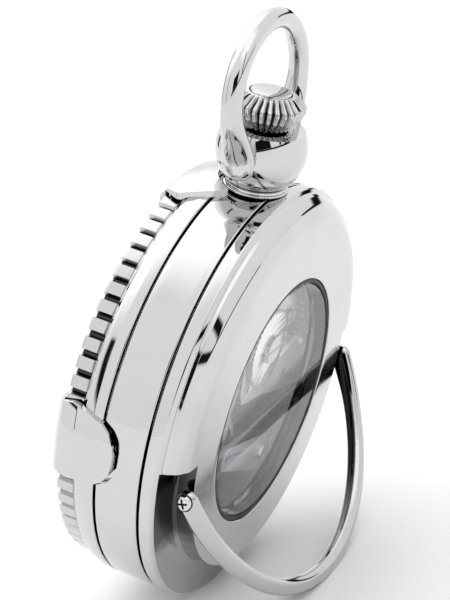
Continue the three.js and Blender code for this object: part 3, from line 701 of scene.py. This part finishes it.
lidShape = {
    "frame": [(19.8, -7.4, 0.15), (22.1, -7.4, 0.15), (22.1, -5.75, 0.0), (24.2, -5.75, 0.35),
              (24.75, -5.1, 0.9),
              (25.0, -3.9, 1.5), (25.0, -2.85, 0.14), (23.6, -2.85, 0.0), (23.6, -4.95, 0.0),
              (21.4, -4.95, 0.0),
              (21.4, -6.6, 0.0), (19.8, -6.6, 0.0)],
    "ring": [(22.2, -8.0, 0.12), (24.1, -8.0, 0.30), (24.1, -5.81, 0.22), (22.2, -5.81, 0.0)],
    "teeth": {"Count": 70, "Depth": 0.8, "Squareness": 4.4, "Fullness": 1.0, "Land": 1.55},
    "stepsPerTooth": 16, "toothFoot": 22.9, "toothRise": 0.9, "turned": 3.6,
}

lidFrame = lathe("lid_frame_piece", densified(rounded(lidShape["frame"]), 0.6), 288)
lidFrame = combined(lidFrame, [knuckle("room", -4.4, 4.4, hinge["room"])], "DIFFERENCE")
lidArm = combined(slab("arm", (1.7, 0.9, 3.6), (-24.85, -3.0, 0)), [knuckle("lidKnuckle", -1.9, 1.9)],
                  "UNION")
lidFrame = combined(lidFrame, [lidArm], "UNION")
finished(lidFrame, mirrorSteel, "lid", ["lid_frame"])

# the ring is fluted about z, then turned so that its z runs along the watch's y
ringOutline = densified(rounded(lidShape["ring"], 4), 0.25)
ringFlat = [(radius, -height) for radius, height in ringOutline]
ringWeights = [min(1.0, max(0.0, (radius - lidShape["toothFoot"]) / lidShape["toothRise"]))
               for radius, height in ringFlat]
ringSteps = lidShape["teeth"]["Count"] * lidShape["stepsPerTooth"]
milledRing = fluted("milled_ring_piece", ringFlat, ringWeights, ringSteps, lidShape["teeth"], ringSteel)
milledRing.data.transform(Matrix.Rotation(math.radians(lidShape["turned"]), 4, "Y")
                          @ Matrix.Rotation(math.pi / 2, 4, "X"))
finished(milledRing, ringSteel, "lid", ["milled_ring"], 40.0)

lidGlass = lathe("lid_crystal_piece", [(0, -7.4), (19.5, -7.4), (19.7, -7.2), (19.7, -6.6), (0, -6.6)], 128,
                 capped=True)
finished(lidGlass, frontGlass, "lid", ["lid_crystal"])
print("lid made")


# case: band, pendant and back cover

caseShape = {
    "band": [(22.4, -3.3, 0.0), (23.4, -3.3, 0.1), (23.4, -2.55, 0.0), (25.0, -2.55, 0.16),
             (25.0, 2.55, 0.16),
             (23.4, 2.55, 0.0), (23.4, 3.3, 0.1), (22.4, 3.3, 0.0)],
    "back": [(23.6, 2.85, 0.0), (25.0, 2.85, 0.16), (25.0, 4.3, 0.32), (24.62, 4.72, 0.1),
             (24.42, 4.78, 0.06),
             (24.3, 5.15, 0.3), (23.5, 6.2, 1.9), (22.2, 6.93, 1.6), (21.2, 7.0, 1.2), (14.95, 7.0, 0.12),
             (14.95, 5.6, 0.0), (13.9, 5.6, 0.0), (13.9, 5.1, 0.0), (19.3, 5.1, 0.0), (19.3, 3.5, 0.0),
             (23.6, 3.5, 0.0)],
    "channelRadius": 20.35, "channelWall": 4.6, "channelTop": 1.0, "channelEdge": 0.16,
    "collar": [(0.95, 22.6, 0.0), (2.2, 22.6, 0.0), (2.2, 25.05, 0.0), (3.75, 25.05, 0.12),
               (3.75, 25.32, 0.12),
               (3.45, 25.36, 0.04), (3.45, 25.58, 0.08), (3.1, 25.62, 0.03)],
    "ballCentre": 29.7, "ballRadius": 5.2, "ballFoot": 25.72, "ballTop": 32.2, "ballSteps": 32,
}


def underFloor():
    # everything lower than what the watch stands on, in the upright frame
    depth = 10.0
    floorDepth = -watchCentre.z * 1000
    centre = floorDepth - depth / 2
    return slab("underFloor", (60, 80, depth), (0, -centre * math.sin(lean), centre * math.cos(lean)), lean)


band = lathe("mid_case_piece", densified(rounded(caseShape["band"]), 0.9), 288)
notches = [lugBlank("notchThumb", lugShape["thumb"], 2, 0.3),
           lugBlank("notchWing", lugShape["wing"], 270, 0.3)]
for notch in notches:
    outside = lathe("outside", [(24.35, -3.6), (30, -3.6), (30, 1.0), (24.35, 1.0)], 192)
    combined(notch, [outside], "INTERSECT")
band = combined(band, notches + [knuckle("room", -4.4, 4.4, hinge["room"]),
                                 rod("pendantHole", (0, 0, 20), (0, 0, 27), 2.3)],
                "DIFFERENCE")
for low, high in ((2.1, 4.1), (-4.1, -2.1)):
    web = combined(slab("web", (1.6, 0.9, 2.0), (-24.7, -1.6, (low + high) / 2)),
                   [knuckle("bandKnuckle", low, high)], "UNION")
    band = combined(band, [web], "UNION")
finished(band, mirrorSteel, "case", ["mid_case"])

ballCentre, ballRadius, ballTop = [caseShape[key] for key in ("ballCentre", "ballRadius", "ballTop")]
ballFrom, ballTo = [math.asin((height - ballCentre) / ballRadius) for height in (caseShape["ballFoot"],
                                                                                 ballTop)]
ball = []
for step in range(caseShape["ballSteps"] + 1):
    angle = ballFrom + (ballTo - ballFrom) * step / caseShape["ballSteps"]
    ball.append((ballRadius * math.cos(angle), ballCentre + ballRadius * math.sin(angle)))
pendantOutline = rounded(caseShape["collar"], 3)[:-1] + ball + [(0.95, ballTop)]
pendant = lathe("pendant_piece", pendantOutline, 128, upright=True)
pendant = combined(pendant, [rod("pinHole", (side * 3.8, 0, ballCentre), (side * 6.0, 0, ballCentre), 0.75)
                             for side in (-1, 1)], "DIFFERENCE")
finished(pendant, mirrorSteel, "case", ["pendant"])

backCover = lathe("back_cover_piece", densified(rounded(caseShape["back"], 8), 0.8), 288)
channel = lathe("channel", rounded([
    (caseShape["channelRadius"], caseShape["channelWall"], 0.5), (27, caseShape["channelWall"], 0.0),
    (27, 9, 0.0),
    (caseShape["channelRadius"], 9, 0.0)]), 288)
channel = combined(channel, [slab("lowerHalf", (60, 20, 40), (0, 7, caseShape["channelTop"] - 20))],
                   "INTERSECT")
backCover = cut(backCover, [channel], [underFloor()])
eased(backCover, caseShape["channelEdge"], 3, 50.0)
# the channel's faces take the painted shade finish
finished(backCover, [backSteel, channelShadeSteel], "case", ["back_cover"], 38.0)

seal = lathe("back_gasket_piece", rounded([(14.42, 5.7, 0), (14.88, 5.7, 0), (14.88, 6.86, 0.12),
                                           (14.42, 6.92, 0.12)], 4), 192)
finished(seal, sealRubber, "case", ["back_gasket"])
backGlass = lathe("back_crystal_piece", [(0, 5.7), (14.35, 5.7), (14.35, 6.62), (14.12, 6.85), (13.2, 6.85),
                                         (0, 6.85)], 192, capped=True)
finished(backGlass, windowGlass, "case", ["back_crystal"], 20.0)

bezel = lathe("dial_bezel_piece", rounded([
    (20.6, -5.9, 0.12), (21.2, -5.9, 0.2), (21.2, -4.7, 0.0), (22.3, -4.7, 0.1), (22.3, -3.4, 0.0),
    (20.6, -3.4, 0.0)]), 192)
finished(bezel, mirrorSteel, "case", ["dial_bezel"])
dialGlass = lathe("dial_crystal_piece", [(0, -5.6), (20.4, -5.6), (20.5, -5.5), (20.5, -5.0), (0, -5.0)], 128,
                  capped=True)
finished(dialGlass, frontGlass, "case", ["dial_crystal"])
print("case made")


# stand loop with its two screws

loopShape = {"radius": 21.8, "wire": 1.05, "pivot": (6.9, -2.8), "opening": 32.5, "past": 3.0,
             "end": (0.9, 1.32),
             "endReach": 9.0, "cap": 1.3, "steps": 200, "seat": 1.02, "seatFrom": 22.12, "seatTo": 24,
             "crossTurn": 20}
pivotY, pivotZ = loopShape["pivot"]
atPivot = Matrix.Translation((0, pivotY, pivotZ))
loopTurn = (atPivot @ Matrix.Rotation(math.radians(loopShape["opening"]), 4, "X")
            @ Matrix.Translation((0, 0, -pivotZ)))


def capped(distance, cap):
    # how far a rounded end has opened at a distance from its tip
    share = min(1.0, distance / cap)
    return math.sqrt(max(0.0, 1 - (1 - share) ** 2))


def easeBetween(first, second, share):
    share = min(1.0, max(0.0, share))
    share = share * share * (3 - 2 * share)
    return first + (second - first) * share


def standLoop():
    start = -7.4 + loopShape["past"]
    sweep = 180 + 2 * start
    length = math.radians(sweep) * loopShape["radius"]
    path, sizes = [], []
    for step in range(loopShape["steps"] + 1):
        share = step / loopShape["steps"]
        tight = 0.5 - 0.5 * math.cos(math.pi * share)
        share = 0.35 * share + 0.65 * tight
        angle = math.radians(start - share * sweep)
        path.append(Vector((math.cos(angle), 0, math.sin(angle))) * loopShape["radius"])
        distance = min(share, 1 - share) * length
        opened = capped(distance + 0.02, loopShape["cap"])
        radial = easeBetween(loopShape["end"][0], loopShape["wire"], distance / loopShape["endReach"])
        sideways = easeBetween(loopShape["end"][1], loopShape["wire"], distance / loopShape["endReach"])
        sizes.append((radial * opened, sideways * opened))
    loop = swept("stand_loop_piece", path, lambda place: Vector((path[place].x, 0, path[place].z)), sizes, 32)
    loop.data.transform(loopTurn)
    seats = [rod("seat", (side * loopShape["seatFrom"], pivotY, pivotZ),
                 (side * loopShape["seatTo"], pivotY, pivotZ),
                 loopShape["seat"], 48) for side in (-1, 1)]
    # the seats' faces get painted shade, a dark ring round each screw
    loop = cut(loop, seats, [underFloor()])
    return finished(loop, [loopSteel, darkSteel], "stand", ["stand_loop"], 36.0)


def standScrew(side, node):
    head = lathe(node + "_piece", [(0, 21.0), (0.42, 21.0), (0.42, 22.2), (0.9, 22.2), (0.9, 22.42),
                                   (0.82, 22.56),
                                   (0.55, 22.68), (0, 22.74)], 48, upright=True, capped=True)
    head.data.transform(atPivot @ Matrix.Rotation(side * math.pi / 2, 4, "Y"))
    cross = [slab("cross", (0.7, *size), (side * 22.72, pivotY, pivotZ)) for size in ((1.15, 0.26),
                                                                                      (0.26, 1.15))]
    for arm in cross:
        arm.data.transform(atPivot @ Matrix.Rotation(math.radians(loopShape["crossTurn"]), 4, "X")
                           @ atPivot.inverted())
    # the cross recess gets painted shade
    head = cut(head, cross)
    return finished(head, [screwSteel, darkSteel], "case", [node], 30.0)


standLoop()
standScrew(1, "stand_screw_right")
standScrew(-1, "stand_screw_left")
hingePin = knuckle("hinge_pin_piece", -hinge["pinHalf"], hinge["pinHalf"], hinge["pin"], 32)
eased(hingePin, 0.1, 2)
finished(hingePin, screwSteel, "case", ["hinge_pin"])
print("stand made")


# bow: a round wire that flattens into teardrop ends against the ball

bowShape = {"wide": 8.72, "tall": 7.48, "rise": 6.93, "wire": 1.18, "end": (0.62, 1.9), "cap": 2.3,
            "endReach": 8.5,
            "tilt": 5.45, "leg": [(5.70, -2.15), (5.90, -0.9), (6.25, 0.6), (6.95, 2.2)], "from": -25.0}


def bow():
    leg = [Vector((x, 0, z)) for x, z in bowShape["leg"]]
    top = []
    for step in range(97):
        angle = math.radians(bowShape["from"] + (180 - 2 * bowShape["from"]) * step / 96)
        top.append(Vector((bowShape["wide"] * math.cos(angle), 0,
                           bowShape["rise"] + bowShape["tall"] * math.sin(angle))))
    other = [Vector((-point.x, 0, point.z)) for point in reversed(leg)]
    rough = leg + top + other
    smooth = []
    for place in range(len(rough) - 1):
        p0, p1 = rough[max(place - 1, 0)], rough[place]
        p2, p3 = rough[place + 1], rough[min(place + 2, len(rough) - 1)]
        inner = 8 if place < 4 or place > len(rough) - 6 else 1
        for step in range(inner):
            t = step / inner
            smooth.append(0.5 * (2 * p1 + (p2 - p0) * t + (2 * p0 - 5 * p1 + 4 * p2 - p3) * t * t
                                 + (3 * p1 - p0 - 3 * p2 + p3) * t ** 3))
    smooth.append(rough[-1])
    travelled = [0.0]
    for before, after in zip(smooth, smooth[1:]):
        travelled.append(travelled[-1] + (after - before).length)
    sizes = []
    for distance in travelled:
        reach = min(distance, travelled[-1] - distance)
        opened = capped(reach + 0.03, bowShape["cap"])
        share = (reach - 1.6) / bowShape["endReach"]
        sizes.append((easeBetween(bowShape["end"][0], bowShape["wire"], share) * capped(reach + 0.03, 0.8),
                      easeBetween(bowShape["end"][1], bowShape["wire"], share) * opened))
    middle = Vector((0, 0, bowShape["rise"]))
    ring = swept("bow_piece", smooth, lambda place: smooth[place] - middle, sizes, 32)
    pins = [rod("pin", (side * 4.0, 0, 0), (side * 5.8, 0, 0), 0.65) for side in (-1, 1)]
    ring = combined(ring, pins, "UNION")
    ring.data.transform(Matrix.Translation((0, 0, ballCentre))
                        @ Matrix.Rotation(math.radians(bowShape["tilt"]), 4, "X"))
    return finished(ring, mirrorSteel, "bow", ["bow"], 40.0)


bow()


# crown: ribs bulge below and run up a cone to the release button

crownShape = {
    "outline": [(0.8, 32.45, 0.0), (2.78, 32.45, 0.1), (2.95, 32.75, 0.3), (3.75, 33.7, 1.4),
                (4.25, 34.75, 0.7),
                (4.12, 35.1, 0.12), (2.95, 36.1, 0.25), (2.5, 36.25, 0.12), (2.4, 36.2, 0.05),
                (2.4, 35.0, 0.0), (0.8, 35.0, 0.0)],
    "flutes": {"Count": 28, "Depth": 0.62, "Squareness": 1.0, "Fullness": 0.66, "Land": 0.0},
    "stepsPerFlute": 14,
    "button": [(0.0, 35.7), (2.2, 35.7), (2.28, 35.78), (2.28, 36.28), (2.2, 36.4), (1.9, 36.46), (1.2, 36.5),
               (0.0, 36.52)],
}
crownOutline = densified(rounded(crownShape["outline"], 6), 0.14)
crownWeights = []
for radius, height in crownOutline:
    outer = 1.0 if radius > 2.7 else 0.0
    crownWeights.append(outer * easeBetween(0.6, 1.0, (height - 32.5) / 1.6)
                        * easeBetween(1.0, 0.55, (height - 35.6) / 0.6))
crownSteps = crownShape["flutes"]["Count"] * crownShape["stepsPerFlute"]
crown = fluted("crown_piece", crownOutline, crownWeights, crownSteps, crownShape["flutes"], crownSteel)
finished(crown, crownSteel, "crown", ["crown"], 50.0)
button = lathe("crown_button_piece", crownShape["button"], 96, upright=True, capped=True)
finished(button, mirrorSteel, "button", ["crown_button"], 40.0)
stem = rod("winding_stem_piece", (0, 0, 14.6), (0, 0, 34.6), 0.65, 40)
eased(stem, 0.12, 2)
finished(stem, screwSteel, "stem", ["winding_stem"])
print("bow and crown made")


# movement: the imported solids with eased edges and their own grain

movementPlaces = {
    "barrel": (-3.0, 4.6), "crownWheel": (0.0, 11.56), "centre": (0.0, 0.0), "third": (3.9, 3.2),
    "fourth": (6.5, 0.0),
    "escape": (5.6, -3.41), "balance": (3.0, -8.2),
}


def refined(node, material, body, edge, angle=30.0):
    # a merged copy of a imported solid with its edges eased
    copy = objectOf(node + "_piece", frame["nodes"][node].data.copy())
    with reworked(copy.data) as build:
        bmesh.ops.remove_doubles(build, verts=build.verts, dist=2e-6)
        bmesh.ops.dissolve_limit(build, angle_limit=math.radians(1.0), verts=build.verts, edges=build.edges)
    eased(copy, edge / 1000, 2, angle)
    return finished(copy, material, body, [node], 32.0, placed=True)


wheelBrass = {}
for place, node, body in (("barrel", "barrel_drum", "barrel"), ("centre", "center_wheel", "center"),
                          ("third", "third_wheel", "third"), ("fourth", "fourth_wheel", "fourth"),
                          ("balance", "balance_wheel", "balance")):
    wheelBrass[place] = circularGrained("gilt_" + place, (0.98, 0.72, 0.34), (0.70, 0.43, 0.14), place)
    refined(node, wheelBrass[place], body, 0.05)
snailed = circularGrained("snailed_ratchet", (0.97, 0.97, 0.99), (0.70, 0.70, 0.73), "barrel", 0.14, 9.0)
snailedCrown = circularGrained("snailed_crown", (0.90, 0.90, 0.93), (0.56, 0.56, 0.60), "crownWheel", 0.14,
                               9.0)
escapeSteel = circularGrained("escape_grained", (0.84, 0.84, 0.87), (0.50, 0.50, 0.54), "escape", 0.16, 12.0)
refined("ratchet_wheel", snailed, "ratchet", 0.06)
refined("crown_wheel", snailedCrown, "crown_wheel", 0.06)
refined("escape_wheel", escapeSteel, "escape", 0.03)
for node in ("barrel_bridge", "train_bridge", "balance_cock", "pallet_bridge"):
    refined(node, plateNickel, "case", 0.12)
refined("main_plate", groundNickel, "case", 0.1)

# screws of the bridges, all one pattern, each with its own slot direction
screwShape = {"head": 1.0, "height": 0.5, "slot": 0.26, "shank": 0.42, "foot": 1.0, "bridgeTop": 3.46,
              "cockTop": 3.56}
bridgeScrews = {
    "bridge_screw_barrel": (-15.2, 0.9), "bridge_screw_upper": (-7.6, 10.8),
    "bridge_screw_right": (6.2, 12.4),
    "bridge_screw_train": (12.2, 3.6), "bridge_screw_lower": (11.8, -2.6), "cock_screw": (-7.6, -12.0),
}


def screwPattern():
    top, head, shank = [screwShape[key] for key in ("height", "head", "shank")]
    foot = screwShape["foot"] - screwShape["bridgeTop"]
    outline = [(0, foot), (shank, foot), (shank, 0.0), (head, 0.0), (head, top - 0.1), (head - 0.1, top),
               (0, top)]
    pattern = lathe("screwPattern", outline, 32, capped=True)
    slot = slab("slot", (3.0, 0.5, screwShape["slot"]), (0, top, 0))
    return combined(pattern, [slot], "DIFFERENCE")


pattern = screwPattern()
points = bpy.data.meshes.new("screwPoints")
points.from_pydata([(x, screwShape["cockTop"] if name == "cock_screw" else screwShape["bridgeTop"], z)
                    for name, (x, z) in bridgeScrews.items()], [], [])
screwSet = objectOf("bridge_screws_piece", points)
runTree(screwSet, setOnPoints, {"Piece": pattern, "Turn": 6.28, "Seed": 4, "Material": screwSteel})
bpy.data.objects.remove(pattern)
finished(screwSet, screwSteel, "case", list(bridgeScrews), 30.0)

for node, material in {
    "hairspring": bluedSteel, "movement_ring": groundNickel, "lid_catch": springSteel,
    "lid_lift_spring": springSteel,
    "crown_wheel_screw": screwSteel, "winding_pinion": screwSteel, "mainspring": springSteel,
    "barrel_cover": wheelBrass["barrel"], "barrel_arbor": screwSteel, "ratchet_screw": screwSteel,
    "click": screwSteel,
    "pallet_fork": escapeSteel, "minute_wheel": wheelBrass["centre"], "seconds_hand": bluedSteel,
}.items():
    mesh = frame["nodes"][node].data
    mesh.materials.clear()
    mesh.materials.append(material)
print("movement made")


# dial with numerals and a minute track, and the hands

dialShape = {"radius": 20.45, "front": -3.8, "back": -3.5, "numeralRadius": 15.6, "numeralSize": 4.3,
             "ink": 0.04,
             "track": 18.9, "bar": (0.14, 0.9, 0.04), "bold": 2.8}


def printed(name, text, size, x, z):
    # one numeral, upright on the dial and a hair proud of it
    curve = bpy.data.curves.new(name, "FONT")
    curve.body = text
    curve.size = size
    curve.align_x = "CENTER"
    curve.align_y = "CENTER"
    curve.extrude = dialShape["ink"] / 2
    made = objectOf(name, curve)
    mesh = bpy.data.meshes.new_from_object(made.evaluated_get(bpy.context.evaluated_depsgraph_get()))
    bpy.data.objects.remove(made)
    front = dialShape["front"] - dialShape["ink"] / 2
    mesh.transform(Matrix.Translation((x, front, z)) @ Matrix.Rotation(math.pi / 2, 4, "X"))
    return mesh


dialDisc = lathe("dial_piece", [
    (0.0, dialShape["front"]), (dialShape["radius"] - 0.1, dialShape["front"]),
    (dialShape["radius"], dialShape["front"] + 0.1), (dialShape["radius"], dialShape["back"]),
    (0.0, dialShape["back"])], 160, capped=True)
dialDisc = combined(dialDisc, [rod("pipeHole", (0, -5, 0), (0, -2, 0), 1.15),
                               rod("secondsHole", (6.5, -5, 0), (6.5, -2, 0), 0.5)],
                    "DIFFERENCE")
finished(dialDisc, dialEnamel, "case", ["dial"])

joined = bmesh.new()
for hour in range(1, 13):
    if hour == 3:
        continue  # the small seconds take its place
    angle = math.radians(90 - 30 * hour)
    radius = dialShape["numeralRadius"]
    numeral = printed("numeral", str(hour), dialShape["numeralSize"], radius * math.cos(angle),
                      radius * math.sin(angle))
    joined.from_mesh(numeral)
numerals = bpy.data.meshes.new("numerals")
joined.to_mesh(numerals)
joined.free()
numeralSet = objectOf("dial_numerals", numerals)
finished(numeralSet, dialInk, "case", (), 30.0)

tracks = {
    "minute_track": {"count": 60, "radius": dialShape["track"], "bar": dialShape["bar"], "at": (0, 0)},
    "seconds_track": {"count": 60, "radius": 3.1, "bar": (0.05, 0.4, 0.04), "at": (6.5, 0)},
}
for name, track in tracks.items():
    trackSet = objectOf(name, bpy.data.meshes.new("trackStart"))
    runTree(trackSet, minuteTrack, {"Count": track["count"], "Radius": track["radius"], "Bar": track["bar"],
                                    "Bold": dialShape["bold"], "Material": dialInk})
    trackSet.data.transform(Matrix.Translation((track["at"][0], dialShape["front"] - 0.02, track["at"][1]))
                            @ Matrix.Rotation(math.pi / 2, 4, "X"))
    finished(trackSet, dialInk, "case", (), 30.0)
for node, body in (("minute_hand", "minute"), ("hour_hand", "hour")):
    refined(node, bluedSteel, body, 0.05, 40.0)
print("dial made")


# floor, light and camera

studio = {
    "floorSize": 3.0, "floorLight": (0.87, 0.87, 0.87), "floorShade": (0.84, 0.84, 0.84),
    "wall": 1.08, "upper": 1.12, "dark": 0.010,
    # soft boxes: (direction, cosine at the edge, softness, brightness)
    "boxes": [((-0.25, -0.45, 0.86), 0.80, 0.16, 1.9), ((0.10, 0.55, 0.83), 0.92, 0.06, 1.6)],
    # dark gaps between them: (azimuth from, to, height from, to, softness), gapTurn for degrees
    "gapTurn": 60,
    "gaps": [(12, 50, 0.08, 0.46, 0.02), (4, 118, 0.015, 0.085, 0.015), (-44, -40, 0.04, 0.60, 0.02),
             (150, 196, 0.04, 0.14, 0.02), (-112, -104, 0.0, 0.6, 0.02), (72, 77, 0.1, 0.66, 0.02)],
}


def layFloor():
    size = studio["floorSize"]
    mesh = bpy.data.meshes.new("floor")
    mesh.from_pydata([(-size, -size, 0), (size, -size, 0), (size, size, 0), (-size, size, 0)], [],
                     [(0, 1, 2, 3)])
    floor = objectOf("floor", mesh)
    tree = newFinish("pale_floor")
    place = tree.node("ShaderNodeTexCoord", output="Object")
    soft = noise(tree, place, 5.0, 2.0)
    mesh.materials.append(painted(tree, colourMix(tree, soft, studio["floorShade"], studio["floorLight"]),
                                  0.0, 0.6))


def lightStudio():
    world = bpy.data.worlds.new("studio")
    bpy.context.scene.world = world
    world.use_nodes = True
    world.node_tree.nodes.clear()
    tree = Tree(world.node_tree)
    direction = tree.node("ShaderNodeTexCoord", output="Generated")
    x, y, height = tree.axes(direction)
    azimuth = x.maths("ARCTAN2", y, x) * (180 / math.pi)
    shade = height.between(0.05, 0.55) * (studio["upper"] - studio["wall"]) + studio["wall"]
    for towards, edge, soft, brightness in studio["boxes"]:
        towards = Vector(towards).normalized()
        facing = x * towards.x + y * towards.y + height * towards.z
        shade = shade + facing.between(edge - soft, edge + soft) * (brightness - studio["upper"])
    for low, high, bottom, top, soft in studio["gaps"]:
        turned = azimuth if high <= 180 else (azimuth + (azimuth.maths("LESS_THAN", azimuth, 0.0)) * 360)
        inside = turned.within(low, high, soft * studio["gapTurn"]) * height.within(bottom, top, soft)
        shade = shade * (1.0 - inside) + inside * studio["dark"]
    tree.node("ShaderNodeOutputWorld", None, {
        "Surface": tree.node("ShaderNodeBackground", None, {"Color": (1, 1, 1, 1), "Strength": shade})})


camera = {"azimuth": 111.92, "elevation": 25.75, "roll": 9.57, "distance": 206.3, "across": 0.39, "up": 9.5,
          "lens": 105.06}


def aimCamera():
    # angles and offsets are about the upright watch, and the whole is leaned back with it
    azimuth, elevation, roll = [math.radians(camera[key]) for key in ("azimuth", "elevation", "roll")]
    back = Vector((math.sin(azimuth) * math.cos(elevation), -math.cos(azimuth) * math.cos(elevation),
                   math.sin(elevation)))
    right = Vector((0, 0, 1)).cross(back).normalized()
    above = back.cross(right)
    across = math.cos(roll) * right + math.sin(roll) * above
    upward = -math.sin(roll) * right + math.cos(roll) * above
    place = across * camera["across"] + upward * camera["up"] + back * camera["distance"]
    turn = Matrix((across, upward, back)).transposed().to_4x4()
    lens = bpy.data.cameras.new("camera")
    lens.sensor_fit = "VERTICAL"
    lens.sensor_height = 36.0
    lens.lens = camera["lens"]
    lens.clip_start = 0.001
    lens.clip_end = 20.0
    seen = objectOf("camera", lens)
    seen.matrix_world = Matrix.Translation(toRow @ place) @ turnToRow @ turn
    bpy.context.scene.camera = seen


layFloor()
lightStudio()
aimCamera()
bpy.context.scene.view_settings.view_transform = "Standard"
print("studio made")
